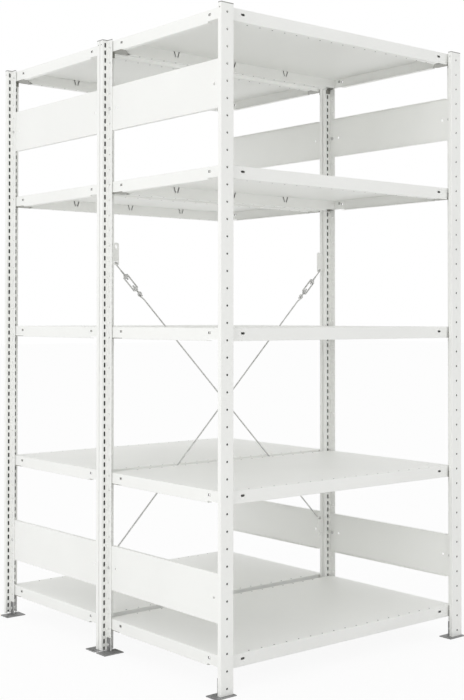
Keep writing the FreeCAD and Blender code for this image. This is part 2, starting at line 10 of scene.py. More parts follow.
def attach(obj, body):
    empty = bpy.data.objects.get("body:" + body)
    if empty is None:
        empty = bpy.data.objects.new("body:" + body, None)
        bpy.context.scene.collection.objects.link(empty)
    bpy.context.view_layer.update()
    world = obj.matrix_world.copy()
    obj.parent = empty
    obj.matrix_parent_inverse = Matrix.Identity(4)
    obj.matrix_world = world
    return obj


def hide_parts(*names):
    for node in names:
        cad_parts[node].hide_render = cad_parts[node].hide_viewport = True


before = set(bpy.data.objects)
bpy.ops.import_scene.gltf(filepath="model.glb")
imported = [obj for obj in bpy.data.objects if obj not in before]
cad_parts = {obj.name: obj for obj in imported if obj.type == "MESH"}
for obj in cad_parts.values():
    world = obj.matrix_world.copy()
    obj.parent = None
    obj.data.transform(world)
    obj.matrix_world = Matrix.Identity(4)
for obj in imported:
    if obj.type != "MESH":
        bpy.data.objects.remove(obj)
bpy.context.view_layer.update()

bl_info = {
    "name": "Double Sided Library Shelving",
    "version": (1, 0, 0),
    "blender": (4, 5, 0),
    "location": "3D View > Sidebar > Shelving",
    "description": "Finishes, fasteners and cross brace of a double sided steel library shelf",
    "category": "Object",
}

# ---- places and sizes on the unit, in metres ----
# u runs along the shelves from the left posts' outer edge, v from the front aisle
# face to the rear aisle face, and z up from the floor.
MM = 0.001
ORIGIN = np.array([521.0, 626.5, 0.0]) * MM
LENGTH = 1064 * MM
DEPTH = 1265 * MM
MIDDLE_U = LENGTH / 2
MIDDLE_V = DEPTH / 2
TOP = 2000 * MM

# Each row of posts: its outer flange face, and the way its web points.
ROWS = ((0.0, 1), (631 * MM, -1), (634 * MM, 1), (DEPTH, -1))
SIDES = ("left", "right")
BAYS = ("front", "rear")
LEVELS = range(1, 6)
ROW_NAMES = ("front_aisle", "front_inner", "rear_inner", "rear_aisle")

SHELF_TOPS = (1995 * MM, 1532 * MM, 1057 * MM, 582 * MM, 107 * MM)
SHELF_H = 38.5 * MM
SHELF_T = 1.2 * MM
SHELF_HALF_U = 506 * MM
SHELF_HALF_V = 295 * MM
BAY_MIDDLE_V = 315.5 * MM
BAY_STEP = 634 * MM
DOT_PITCH = 50 * MM
DOT_REACH = 410 * MM
TOP_DOT_IN = 10.5 * MM
BOTTOM_DOT_IN = 18.5 * MM
SLIT_PITCH = 250 * MM
SLIT_REACH = 270 * MM
SLIT_LOW = 20 * MM
BEAM_W = 24 * MM
END_HOLE_IN = (64.5 * MM, 67 * MM)
END_HOLE_DROP = 14.5 * MM
TAB_HOLE_IN = 47.5 * MM
TAB_HOLE_DROP = 11 * MM

# Half sizes of the shelves' holes with the rim of painted shade about them.
DOT_RIM = (2.4 * MM, 2.9 * MM)
SLIT_RIM = 2.2 * MM
SLIT_SPREAD = 10.7 * MM
SLIT_TAPER = 0.335
END_HOLE_RIM = (5.5 * MM, 3.6 * MM)
TAB_HOLE_RIM = (5.4 * MM, 4.4 * MM)
TAB_HOLE_SHADE = 0.6

# The flange boxes' middles lie this far from the unit's middle planes.
FLANGE_U = 508 * MM
FLANGE_FAR_V = 625 * MM
FLANGE_NEAR_V = 9 * MM
HOLLOW_HALF_U = 22.4 * MM
HOLLOW_HALF_V = 6 * MM
TOP_BAND_DEPTH = 3 * MM
EDGE_FADE = 0.4 * MM

WEB_LEFT = 20.4 * MM
WEB_RIGHT = 24 * MM
SCREW_V = 28 * MM
PANEL_SHEET = 1.2 * MM
PANEL_HEIGHTS = (1772 * MM, 272 * MM)
EAR_SHEET = 2.5 * MM
EAR_HEIGHT = 22 * MM
PAST_NUT = 1.5 * MM

# The brace line runs between the middles of two key slots; s is measured down it.
LINE_TOP = np.array([64.0, 632.5, 1270.5]) * MM
LINE_LOW = np.array([1000.0, 632.5, 323.5]) * MM
LINE_LENGTH = float(np.linalg.norm(LINE_LOW - LINE_TOP))
LINE_AXIS = (LINE_LOW - LINE_TOP) / LINE_LENGTH
ACROSS_GAP = np.array([0.0, 1.0, 0.0])
LINE_SIDE = np.cross(LINE_AXIS, ACROSS_GAP)

ROD_R = 2.5 * MM
ROD_OFF = 6 * MM
HOOK_TAIL = 9 * MM
HOOK_THREAD_S = 38 * MM
HOOK_ROD_END = 78 * MM
BUCKLE_S0 = 62 * MM
BUCKLE_S1 = 124 * MM
BUCKLE_W = 22 * MM
BUCKLE_V = 8 * MM
BUCKLE_BAR = 3.5 * MM
BUCKLE_BORE_R = 3.3 * MM
LOCK_NUT_T = 4.5 * MM
LOCK_NUT_GAP = 0.3 * MM
EYE_SHANK_S = 106 * MM
EYE_S = 146 * MM
EYE_R = 6.5 * MM
LINK_R = 6.2 * MM
LINK_RUN = 12 * MM
LINK_EASE_R = 14 * MM

# ---- the stage, in metres and radians; the lens and its sensor in millimetres ----
FLOOR_REACH = 40.0
FLOOR_DROP = 0.2 * MM
SENSOR_W = 36.0
FOCAL_LENGTH = 61.133
SHIFT = (0.00457, -0.0701)
FAR_CLIP = 200.0
EYE_PLACE = (-2.6724, -3.2721, 1.0856)
EYE_HEADING = math.radians(-39.5)
EYE_TILT = 0.0145
EYE_ROLL = 0.0005


# ---- settings a user would change ----

class SHELVING_PaintSettings(PropertyGroup):
    colour: FloatVectorProperty(
        name="Paint", description="Light grey powder coat of the posts, shelves and panels",
        default=(0.935, 0.94, 0.915), min=0, max=1, subtype="COLOR",
    )
    roughness: FloatProperty(
        name="Roughness", description="How matt the powder coat is", default=0.46, min=0, max=1,
        subtype="FACTOR",
    )
    peel_size: FloatProperty(
        name="Orange peel", description="Width of the powder coat's fine bumps", default=0.0016,
        min=0.0002, max=0.01, unit="LENGTH",
    )
    peel_depth: FloatProperty(
        name="Peel depth", description="Height of the powder coat's fine bumps", default=0.00003,
        min=0, max=0.001, unit="LENGTH",
    )
    # Colour inside the hollow posts: near-black painted shade that darkens their slots, over a thin,
    # dusty coat.
    inside: FloatVectorProperty(
        name="Post inside", description="Thin, dusty coat inside the hollow posts",
        default=(0.05, 0.05, 0.045), min=0, max=1, subtype="COLOR",
    )
    # Grey of the posts' top ends and of a 3 mm band below them.
    top_band_grey: FloatVectorProperty(
        name="Cut edge", description="Bare steel where the posts are cut off",
        default=(0.34, 0.34, 0.33), min=0, max=1, subtype="COLOR",
    )
    # Near-black painted shade in and round the shelves' punched holes, on their bare cut edges.
    punched: FloatVectorProperty(
        name="Punched edge", description="Bare, dusty edges of the shelves' punched holes",
        default=(0.08, 0.08, 0.075), min=0, max=1, subtype="COLOR",
    )


class SHELVING_MetalSettings(PropertyGroup):
    clip_colour: FloatVectorProperty(
        name="Clips", description="Galvanised sheet of the shelf clips", default=(0.33, 0.33, 0.3),
        min=0, max=1, subtype="COLOR",
    )
    foot_colour: FloatVectorProperty(
        name="Feet", description="Dark zinc of the foot plates", default=(0.3, 0.3, 0.3),
        min=0, max=1, subtype="COLOR",
    )
    rod_colour: FloatVectorProperty(
        name="Rods", description="Zinc plate of the brace rods", default=(0.62, 0.62, 0.61),
        min=0, max=1, subtype="COLOR",
    )
    fastener_colour: FloatVectorProperty(
        name="Screws and nuts", description="Bright zinc of the screws and nuts",
        default=(0.66, 0.66, 0.65), min=0, max=1, subtype="COLOR",
    )
    spangle: FloatProperty(
        name="Spangle", description="Width of the zinc crystals", default=0.006, min=0.001, max=0.05,
        unit="LENGTH",
    )


class SHELVING_FastenerSettings(PropertyGroup):
    thread: FloatProperty(
        name="Thread", description="Outside diameter of every thread", default=0.006, min=0.003,
        max=0.0062, unit="LENGTH",
    )
    pitch: FloatProperty(
        name="Pitch", description="Step of one thread turn", default=0.001, min=0.0005, max=0.002,
        unit="LENGTH",
    )
    head_width: FloatProperty(
        name="Head", description="Diameter of a screw head", default=0.011, min=0.008, max=0.0116,
        unit="LENGTH",
    )
    head_height: FloatProperty(
        name="Head height", description="Height of a screw head", default=0.0034, min=0.002,
        max=0.004, unit="LENGTH",
    )
    nut_width: FloatProperty(
        name="Nut", description="Width of a nut across its flats", default=0.01, min=0.008,
        max=0.0105, unit="LENGTH",
    )
    nut_height: FloatProperty(
        name="Nut height", description="Height of a nut", default=0.005, min=0.003, max=0.0052,
        unit="LENGTH",
    )


class SHELVING_StageSettings(PropertyGroup):
    sky_left: FloatProperty(
        name="Sky left", description="Light from all around the end frames' side", default=0.89,
        min=0, max=4,
    )
    sky_right: FloatProperty(
        name="Sky right", description="Light from all around the other side", default=0.3, min=0,
        max=4,
    )
    sky_rear: FloatProperty(
        name="Sky rear", description="Light from all around the far aisle", default=1.3, min=0,
        max=4,
    )
    sky_above: FloatProperty(
        name="Sky above", description="Light from overhead", default=0.89, min=0, max=4,
    )
    left_lamp: FloatProperty(
        name="Left lamp", description="Soft lamp on the end frames' side", default=50, min=0,
        max=2000, unit="POWER",
    )
    front_lamp: FloatProperty(
        name="Front lamp", description="Soft lamp on the aisle side", default=22, min=0, max=2000,
        unit="POWER",
    )
    floor_colour: FloatVectorProperty(
        name="Floor", description="Pale floor", default=(0.9, 0.9, 0.9), min=0, max=1,
        subtype="COLOR",
    )
    floor_glow: FloatProperty(
        name="Floor glow", description="How white the floor looks around its shadow", default=0.92,
        min=0, max=1, subtype="FACTOR",
    )


class SHELVING_Settings(PropertyGroup):
    paint: PointerProperty(type=SHELVING_PaintSettings)
    metal: PointerProperty(type=SHELVING_MetalSettings)
    fastener: PointerProperty(type=SHELVING_FastenerSettings)
    stage: PointerProperty(type=SHELVING_StageSettings)


# ---- shader maths ----

class Flow:
    """A number that flows between shader nodes: Python's operators add Math nodes."""

    def __init__(self, finish, socket):
        self.finish = finish
        self.socket = socket

    def maths(self, operation, *terms):
        made = self.finish.node("ShaderNodeMath", {"operation": operation}, dict(enumerate(terms)))
        return Flow(self.finish, made.outputs[0])

    def __add__(self, other):
        return self.maths("ADD", self, other)

    def __radd__(self, other):
        return self.maths("ADD", other, self)

    def __sub__(self, other):
        return self.maths("SUBTRACT", self, other)

    def __rsub__(self, other):
        return self.maths("SUBTRACT", other, self)

    def __mul__(self, other):
        return self.maths("MULTIPLY", self, other)

    def __rmul__(self, other):
        return self.maths("MULTIPLY", other, self)

    def __gt__(self, other):
        return self.maths("GREATER_THAN", self, other)

    def __lt__(self, other):
        return self.maths("LESS_THAN", self, other)

    def __abs__(self):
        return self.maths("ABSOLUTE", self)

    def folded(self, pitch):
        """How far the number is from the nearest whole multiple of pitch."""
        return self.maths("PINGPONG", self, pitch / 2)

    def within(self, middle, reach):
        """1 where the number is less than reach from a middle value, and 0 elsewhere."""
        return abs(self - middle) < reach

    def ramped(self, low, high):
        """0 below low, 1 above high, and a smooth step between them."""
        made = self.finish.node(
            "ShaderNodeMapRange", {"interpolation_type": "SMOOTHSTEP"},
            {"Value": self, "From Min": low, "From Max": high},
        )
        return Flow(self.finish, made.outputs["Result"])


class Finish:
    """A material, or a world, whose nodes are added one after another."""

    def __init__(self, name, library=None):
        library = bpy.data.materials if library is None else library
        self.material = library.new(name)
        self.material.use_nodes = True
        self.tree = self.material.node_tree
        self.tree.nodes.clear()
        self.place = self.node("ShaderNodeTexCoord").outputs["Object"]

    def node(self, kind, settings=None, values=None):
        """Adds one node: its settings first, then the values or links of its sockets."""
        made = self.tree.nodes.new(kind)
        for key, value in (settings or {}).items():
            setattr(made, key, value)
        for key, value in (values or {}).items():
            socket = made.inputs[key]
            if isinstance(value, Flow):
                value = value.socket
            if isinstance(value, bpy.types.NodeSocket):
                self.tree.links.new(value, socket)
            else:
                socket.default_value = value
        return made

    def flow(self, made, output):
        return Flow(self, made.outputs[output])

    def axes(self):
        """The x, y and z of the place on the object, in metres."""
        made = self.node("ShaderNodeSeparateXYZ", None, {0: self.place})
        return [self.flow(made, axis) for axis in "XYZ"]

    def seen(self):
        """1 for rays that show a surface, directly or in a shine, and 0 for rays that light one."""
        path = self.node("ShaderNodeLightPath")
        rays = ("Is Camera Ray", "Is Glossy Ray", "Is Transmission Ray")
        camera, glossy, clear = (self.flow(path, ray) for ray in rays)
        return camera + glossy + clear

    def noise(self, width, detail=2.0, stretch=None):
        """Soft noise with bumps about width across, stretched along an axis if asked."""
        place = self.place
        if stretch:
            place = self.node(
                "ShaderNodeMapping", None, {"Vector": place, "Scale": stretch}
            ).outputs["Vector"]
        made = self.node(
            "ShaderNodeTexNoise", None, {"Vector": place, "Scale": 1 / width, "Detail": detail}
        )
        return self.flow(made, "Fac")

    def mixed(self, factor, one, other):
        """A colour between two colours."""
        made = self.node("ShaderNodeMix", {"data_type": "RGBA"}, {0: factor, 6: one, 7: other})
        return made.outputs[2]

    def bumped(self, height, depth, under=None):
        """A normal bent by a height of 0 to 1 over a real depth."""
        values = {"Height": height, "Distance": depth, "Strength": 1.0}
        if under:
            values["Normal"] = under
        return self.node("ShaderNodeBump", None, values).outputs["Normal"]

    def shaded(self, **values):
        """Ends the material in a Principled BSDF; a name's underscores stand for spaces."""
        sockets = {key.replace("_", " "): value for key, value in values.items()}
        made = self.node("ShaderNodeBsdfPrincipled", None, sockets)
        self.node("ShaderNodeOutputMaterial", None, {"Surface": made.outputs["BSDF"]})
        return self.material


def rgba(colour, scale=1.0):
    return tuple(channel * scale for channel in colour) + (1.0,)


# ---- finishes ----
# Widths and depths of the patterns, in metres.

CLOUD_W = 0.35
SPECK_W = 4 * MM
SHEET_WAVE = (0.3, 0.6 * MM)
ZINC_HAZE_W = 50 * MM
ROLLING_LINE = (1.2 * MM, 0.02 * MM)
PLATED_HAZE_W = 20 * MM
PLATED_GRAIN = (0.9 * MM, 0.01 * MM)


def powder_coat(name, paint, painted_shade=None, painted_shade_colour=None, edge=None, edge_colour=None):
    """Satin powder coat: even colour, faint cloudiness, orange peel and rolled-sheet waves, with
    masks that mix in painted shade or another colour where asked.
    """
    finish = Finish(name)
    cloud = finish.noise(CLOUD_W, 3.0)
    speck = finish.noise(SPECK_W, 1.0)
    colour = finish.mixed(
        cloud.ramped(0.35, 0.65), rgba(paint.colour, 0.985), rgba(paint.colour, 1.01)
    )
    colour = finish.mixed(speck.ramped(0.62, 0.8) * 0.25, colour, rgba(paint.colour, 0.94))
    rough = paint.roughness + (cloud - 0.5) * 0.06 + (speck - 0.5) * 0.05
    # Painted shade: a dark colour mixed in through a mask, with a rougher surface there.
    if painted_shade:
        mask = painted_shade(finish)
        colour = finish.mixed(mask, colour, rgba(painted_shade_colour))
        rough = rough + mask * 0.3
    # A second colour through a mask: painted shade in the shelves' holes, or the grey band at the
    # posts' tops.
    if edge:
        mask = edge(finish)
        colour = finish.mixed(mask, colour, rgba(edge_colour))
        rough = rough - mask * 0.08
    wave = finish.bumped(finish.noise(SHEET_WAVE[0], 1.0), SHEET_WAVE[1])
    peel = finish.bumped(finish.noise(paint.peel_size, 2.0), paint.peel_depth, wave)
    return finish.shaded(Base_Color=colour, Roughness=rough, Normal=peel, IOR=1.5)


def shade_in_hollow_posts(finish):
    """1 inside the posts' hollow flanges, which get near-black painted shade: folds all eight
    flanges onto one and tests its depth.
    """
    x, y, z = finish.axes()
    halfway = (FLANGE_FAR_V + FLANGE_NEAR_V) / 2
    depth = abs(abs(abs(y + (ORIGIN[1] - MIDDLE_V)) - halfway) - (FLANGE_FAR_V - halfway))
    width = abs(abs(x + (ORIGIN[0] - MIDDLE_U)) - FLANGE_U)
    deep = 1 - depth.ramped(HOLLOW_HALF_V, HOLLOW_HALF_V + EDGE_FADE)
    within = 1 - width.ramped(HOLLOW_HALF_U, HOLLOW_HALF_U + EDGE_FADE)
    return deep * within


def grey_top_band(finish):
    """1 on the posts' top ends and on a band of their faces just below, which turn grey."""
    x, y, z = finish.axes()
    return z.ramped(TOP - TOP_BAND_DEPTH - EDGE_FADE, TOP - TOP_BAND_DEPTH + EDGE_FADE)


def shade_of_shelf_holes(top):
    """Makes the mask of painted shade in one level's punched holes: on their bare cut edges, on a
    thin rim about them and in the recess behind a tab's hole.

    Across a bay it works with the distance in from the nearer long edge. What lies off
    centre is the same for opposite corners, so it goes by the sign of along times across."""
    def mask(finish):
        x, y, z = finish.axes()
        along = x + (ORIGIN[0] - MIDDLE_U)
        v = y + ORIGIN[1]
        across = v - BAY_MIDDLE_V - (v > MIDDLE_V) * BAY_STEP
        inward = SHELF_HALF_V - abs(across)
        drop = top - z
        low = drop > SHELF_H / 2
        skin_deep = (drop < 2 * SHELF_T) + (drop > SHELF_H - 2 * SHELF_T)
        apart = along.folded(DOT_PITCH)
        aside = inward - TOP_DOT_IN - low * (BOTTOM_DOT_IN - TOP_DOT_IN)
        dots = 1 - (apart * apart + aside * aside).ramped(DOT_RIM[0] ** 2, DOT_RIM[1] ** 2)
        dots = dots * skin_deep * along.within(0, DOT_REACH)
        slope = SLIT_SPREAD - (drop - SHELF_T) * SLIT_TAPER
        slits = along.folded(SLIT_PITCH).within(slope, SLIT_RIM)
        slits = slits * drop.within(SLIT_LOW / 2, SLIT_LOW / 2)
        slits = slits * inward.within(BEAM_W - SHELF_T / 2, SHELF_T) * along.within(0, SLIT_REACH)
        twist = along * across < 0
        at_end = abs(along) > SHELF_HALF_U - 2.5 * SHELF_T
        middle = END_HOLE_IN[0] + twist * (END_HOLE_IN[1] - END_HOLE_IN[0])
        ends = inward.within(middle, END_HOLE_RIM[0]) * drop.within(END_HOLE_DROP, END_HOLE_RIM[1])
        ends = ends * at_end
        # Painted shade in the recess behind the tab's hole, at TAB_HOLE_SHADE strength.
        recess = inward.within(TAB_HOLE_IN, TAB_HOLE_RIM[0])
        recess = recess * drop.within(TAB_HOLE_DROP, TAB_HOLE_RIM[1])
        behind = abs(along).within(SHELF_HALF_U - 1.5 * SHELF_T, 0.8 * SHELF_T)
        recess = recess * behind * (1 - twist) * TAB_HOLE_SHADE
        return dots + slits + ends + recess
    return mask


def zinc_sheet(name, colour, spangle, metallic, roughness):
    """Zinc-coated sheet: crystals of two tones and gloss, with faint rolling lines."""
    finish = Finish(name)
    cells = finish.node("ShaderNodeTexVoronoi", None, {"Vector": finish.place, "Scale": 1 / spangle})
    tone = finish.node("ShaderNodeSeparateColor", None, {0: cells.outputs["Color"]})
    crystal = finish.flow(tone, "Red")
    haze = finish.noise(ZINC_HAZE_W, 3.0)
    shade = crystal * 0.6 + haze * 0.4
    base = finish.mixed(shade.ramped(0.2, 0.8), rgba(colour, 0.86), rgba(colour, 1.14))
    rough = roughness + (crystal - 0.5) * 0.14 + (haze - 0.5) * 0.1
    lines = finish.noise(ROLLING_LINE[0], 2.0, (1.0, 1.0, 0.04))
    bend = finish.bumped(lines, ROLLING_LINE[1])
    return finish.shaded(Base_Color=base, Roughness=rough, Metallic=metallic, Normal=bend)


def plated_steel(name, colour, metallic, roughness, dull=0.0):
    """Zinc-plated turned steel: fine grain, cloudy tone and a little dulling."""
    finish = Finish(name)
    haze = finish.noise(PLATED_HAZE_W, 4.0)
    grain = finish.noise(PLATED_GRAIN[0], 2.0)
    base = finish.mixed(haze.ramped(0.3, 0.7), rgba(colour, 0.88), rgba(colour, 1.08))
    base = finish.mixed(grain.ramped(0.6, 0.8) * 0.3, base, rgba(colour, 0.7))
    rough = roughness + (haze - 0.5) * 0.16 + (grain - 0.5) * 0.08 + dull
    bend = finish.bumped(grain, PLATED_GRAIN[1])
    return finish.shaded(Base_Color=base, Roughness=rough, Metallic=metallic, Normal=bend)


def finished(material, *nodes):
    """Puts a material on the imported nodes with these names."""
    for name in nodes:
        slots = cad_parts[name].data.materials
        slots.clear()
        slots.append(material)


# ---- surfaces ----
# A shape is (points, quads, triangles). A round one has this many points about its axis.

SCREW_SIDES = 40
NUT_SIDES = 36
THREAD_SIDES = 24
BAR_SIDES = 20
RING_TURNS = 48
BLOCK_SIDES = 72

# The cross recess of a screw head: half an arm's width, its length, its depth, and how
# wide its flanks and its end slopes are.
RECESS_ARM = 0.85 * MM
RECESS_REACH = 2.6 * MM
RECESS_DEPTH = 1.6 * MM
RECESS_FLANK = 0.35 * MM
RECESS_END = 0.7 * MM
TIP_CHAMFER = 0.7 * MM
THREAD_DEPTH = 0.27
NUT_SINK = 0.4 * MM
SHARP_ANGLE = 38


def once_round(sides):
    """Angles once round, as a row."""
    return np.linspace(0, 2 * np.pi, sides, endpoint=False)[None, :]


def skin(grid, ring=False):
    """Closed surface over a grid of rows of points.

    Every row is a closed ring. Either the last row joins the first one, or a fan
    about the middle of each end row closes the shape."""
    rows, columns = grid.shape[:2]
    points = grid.reshape(-1, 3)
    row = np.arange(rows if ring else rows - 1)[:, None]
    column = np.arange(columns)[None, :]
    after = (row + 1) % rows
    beside = (column + 1) % columns
    quads = np.stack([
        row * columns + column, row * columns + beside,
        after * columns + beside, after * columns + column,
    ], axis=-1).reshape(-1, 4)
    triangles = np.zeros((0, 3), dtype=int)
    if not ring:
        points = np.concatenate([points, [grid[0].mean(0)], [grid[-1].mean(0)]])
        near = column[0]
        far = near + (rows - 1) * columns
        first = np.stack([np.full(columns, rows * columns), beside[0], near], axis=-1)
        far_beside = beside[0] + (rows - 1) * columns
        last = np.stack([np.full(columns, rows * columns + 1), far, far_beside], axis=-1)
        triangles = np.concatenate([first, last])
    corners = np.concatenate([quads[:, [0, 1, 2]], quads[:, [0, 2, 3]], triangles])
    a, b, c = (points[corners[:, index]] for index in range(3))
    if np.einsum("ij,ij->i", a, np.cross(b, c)).sum() < 0:
        quads = quads[:, ::-1]
        triangles = triangles[:, ::-1]
    return points, quads, triangles


def joined(*shapes):
    """Several closed shapes as one."""
    starts = np.cumsum([0] + [len(shape[0]) for shape in shapes[:-1]])
    return (
        np.concatenate([shape[0] for shape in shapes]),
        np.concatenate([shape[1] + start for shape, start in zip(shapes, starts)]),
        np.concatenate([shape[2] + start for shape, start in zip(shapes, starts)]),
    )


def repeated(shape, places, axes):
    """Copies of a shape made along +z: each one is turned to its axis and moved to its place."""
    points, quads, triangles = shape
    places = np.asarray(places)
    forward = np.asarray(axes, dtype=float)
    helper = np.broadcast_to(ACROSS_GAP, forward.shape)
    side = np.cross(helper, forward)
    side /= np.linalg.norm(side, axis=1, keepdims=True)
    up = np.cross(forward, side)
    turns = np.stack([side, up, forward], axis=-1)
    spread = np.einsum("kij,nj->kni", turns, points) + places[:, None, :]
    shift = (np.arange(len(places)) * len(points))[:, None, None]
    return (
        spread.reshape(-1, 3), (quads[None] + shift).reshape(-1, 4),
        (triangles[None] + shift).reshape(-1, 3),
    )


def half_turned(shape):
    """The same shape on the brace line that crosses the first: u and v count from the far corner."""
    points, quads, triangles = shape
    turned = points * [-1, -1, 1] + [LENGTH, DEPTH, 0]
    return turned, quads, triangles


def thread_radius(along, angle, crest, pitch):
    """Crest radius less a cosine groove that winds once round for each pitch."""
    depth = THREAD_DEPTH * pitch
    return crest - depth + depth * np.cos(2 * np.pi * along / pitch - angle)


def revolved(radius, height, angle):
    """Points at (radius cos angle, radius sin angle, height), for whole arrays."""
    return np.stack([radius * np.cos(angle), radius * np.sin(angle), height], axis=-1)


def screw_shape(reach, sizes):
    """Pan-head screw along +z with its bearing face at z = 0.

    The head is a superellipse of revolution. A cross recess sinks its middle, where
    the smaller of |x| and |y| is under half an arm's width and the larger under its
    length. The shank is a threaded rod with a chamfered tip."""
    angle = once_round(SCREW_SIDES)
    rise = np.linspace(0.03, 1, 16)[:, None] ** 1.25 * np.pi / 2
    radius = sizes.head_width / 2 * np.sin(rise) ** 0.62 + 0 * angle
    height = -sizes.head_height * np.cos(rise) ** 0.62 + 0 * angle
    x = np.abs(radius * np.cos(angle))
    y = np.abs(radius * np.sin(angle))
    arm = np.clip((RECESS_ARM - np.minimum(x, y)) / RECESS_FLANK, 0, 1)
    end = np.clip((RECESS_REACH - np.maximum(x, y)) / RECESS_END, 0, 1)
    height = height + RECESS_DEPTH * arm * end
    head = revolved(radius, height, angle)
    along = np.concatenate([[0.0], np.arange(0.0002, reach - 0.0005, sizes.pitch / 4)])[:, None]
    crest = sizes.thread / 2
    shank = revolved(thread_radius(along, angle, crest, sizes.pitch), along + 0 * angle, angle)
    tip = revolved(crest - TIP_CHAMFER + 0 * angle, reach + 0 * angle, angle)
    return skin(np.concatenate([head, shank, tip]))


def nut_shape(height, sizes, bore):
    """Hexagon nut from z = 0, ring-shaped about its bore.

    The outline radius is the flats' distance over the cosine of the angle from the
    nearest flat's middle, cut down near both faces by a 30 degree cone."""
    angle = np.radians(30 + 360 / NUT_SIDES * np.arange(NUT_SIDES))[None, :]
    flat = sizes.nut_width / 2
    hexagon = flat / np.cos((angle + np.pi / 6) % (np.pi / 3) - np.pi / 6)
    low = np.array([0.0, 0.12, 0.25, 0.4, 0.62])[:, None] * MM
    side = np.concatenate([low, height - low[::-1]])
    cone = 0.95 * flat + math.sqrt(3) * np.minimum(side, height - side)
    outside = np.minimum(hexagon, cone)
    bore_rows = np.array([bore, bore, bore + NUT_SINK])[:, None] + 0 * angle
    bore_heights = np.array([height - NUT_SINK, NUT_SINK, 0.0])[:, None] + 0 * angle
    return skin(np.concatenate([
        revolved(bore_rows, bore_heights, angle),
        revolved(outside, side + 0 * angle, angle),
        revolved(bore + NUT_SINK + 0 * angle, height + 0 * angle, angle),
    ]), ring=True)


def bent_line(corners, bends, step=0.0006):
    """Straight runs joined by tangent arcs, as points (s, off) of the brace line's plane.

    An arc leaves each run one bend radius times the tangent of half the turn before
    the corner, and its points swing at an even angle about its own centre."""
    corners = np.array(corners)
    pieces = [corners[:1]]
    for before, corner, after, bend in zip(corners, corners[1:], corners[2:], bends):
        arrive = (corner - before) / np.linalg.norm(corner - before)
        leave = (after - corner) / np.linalg.norm(after - corner)
        turn = math.acos(np.clip(arrive @ leave, -1, 1))
        start = corner - arrive * bend * math.tan(turn / 2)
        left = arrive[0] * leave[1] - arrive[1] * leave[0] > 0
        inward = np.array([-arrive[1], arrive[0]]) * (1 if left else -1)
        swing = np.linspace(0, turn, max(4, int(bend * turn / step)))[:, None]
        pieces.append(start + arrive * bend * np.sin(swing) + inward * bend * (1 - np.cos(swing)))
    pieces.append(corners[-1:])
    line = np.concatenate(pieces)
    keep = np.append(True, np.linalg.norm(np.diff(line, axis=0), axis=1) > 1e-6)
    return line[keep]


def on_line(s, off):
    """Place of a point s down the brace line and off across the gap from its middle."""
    return LINE_TOP + np.multiply.outer(s, LINE_AXIS) + np.multiply.outer(off, ACROSS_GAP)


def round_bar(line, radius, columns=BAR_SIDES):
    """A circle carried along a line in the brace line's plane.

    A point is the line's point plus radius times (cosine of the angle along the
    plane's normal, sine along the line's own normal). The ends have a small chamfer."""
    ahead = np.gradient(line, axis=0)
    ahead /= np.linalg.norm(ahead, axis=1, keepdims=True)
    centre = on_line(line[:, 0], line[:, 1])
    normal = np.multiply.outer(-ahead[:, 1], LINE_AXIS) + np.multiply.outer(ahead[:, 0], ACROSS_GAP)
    angle = once_round(columns)[:, :, None]
    radius = np.broadcast_to(np.asarray(radius), (len(line), columns)).copy()
    radius[[0, -1]] *= 0.8
    spoke = np.cos(angle) * LINE_SIDE + np.sin(angle) * normal[:, None, :]
    return skin(centre[:, None, :] + radius[:, :, None] * spoke)


def threaded_bar(s0, s1, sizes):
    """Straight threaded rod on the brace line, from s0 to s1."""
    s = np.arange(s0, s1, sizes.pitch / 5)
    radius = thread_radius(s[:, None], once_round(THREAD_SIDES), sizes.thread / 2, sizes.pitch)
    return round_bar(np.stack([s, np.full_like(s, ROD_OFF)], axis=-1), radius, THREAD_SIDES)


def hooked_rod_shape(sizes):
    """Hook through the plate's key slot, then a threaded end in the turnbuckle."""
    line = bent_line(
        [(HOOK_TAIL, -ROD_OFF), (0, -ROD_OFF), (0, ROD_OFF), (HOOK_THREAD_S + MM, ROD_OFF)],
        [ROD_OFF, ROD_OFF],
    )
    return joined(round_bar(line, ROD_R), threaded_bar(HOOK_THREAD_S, HOOK_ROD_END, sizes))


def long_rod_shape():
    """Link through the eye, eased onto the brace line, then a hook through the low plate."""
    near = ROD_OFF - LINK_R
    far = ROD_OFF + LINK_R
    line = bent_line(
        [
            (EYE_S + HOOK_TAIL, near), (EYE_S, near), (EYE_S, far), (EYE_S + LINK_RUN, far),
            (EYE_S + 2 * LINK_RUN, ROD_OFF), (LINE_LENGTH, ROD_OFF), (LINE_LENGTH, -ROD_OFF),
            (LINE_LENGTH - HOOK_TAIL, -ROD_OFF),
        ],
        [LINK_R, LINK_R, LINK_EASE_R, LINK_EASE_R, ROD_OFF, ROD_OFF],
    )
    return round_bar(line, ROD_R)


def eye_bolt_shape(sizes):
    """Ring of round bar about the brace line's point EYE_S, with a threaded shank."""
    turn = once_round(RING_TURNS).T
    angle = once_round(BAR_SIDES)
    out = EYE_R + ROD_R * np.cos(angle)
    ring = (
        on_line(EYE_S, ROD_OFF)
        + (out * np.cos(turn))[:, :, None] * LINE_AXIS
        + (out * np.sin(turn))[:, :, None] * LINE_SIDE
        + (ROD_R * np.sin(angle) + 0 * turn)[:, :, None] * ACROSS_GAP
    )
    return joined(skin(ring, ring=True), threaded_bar(EYE_SHANK_S, EYE_S - EYE_R, sizes))


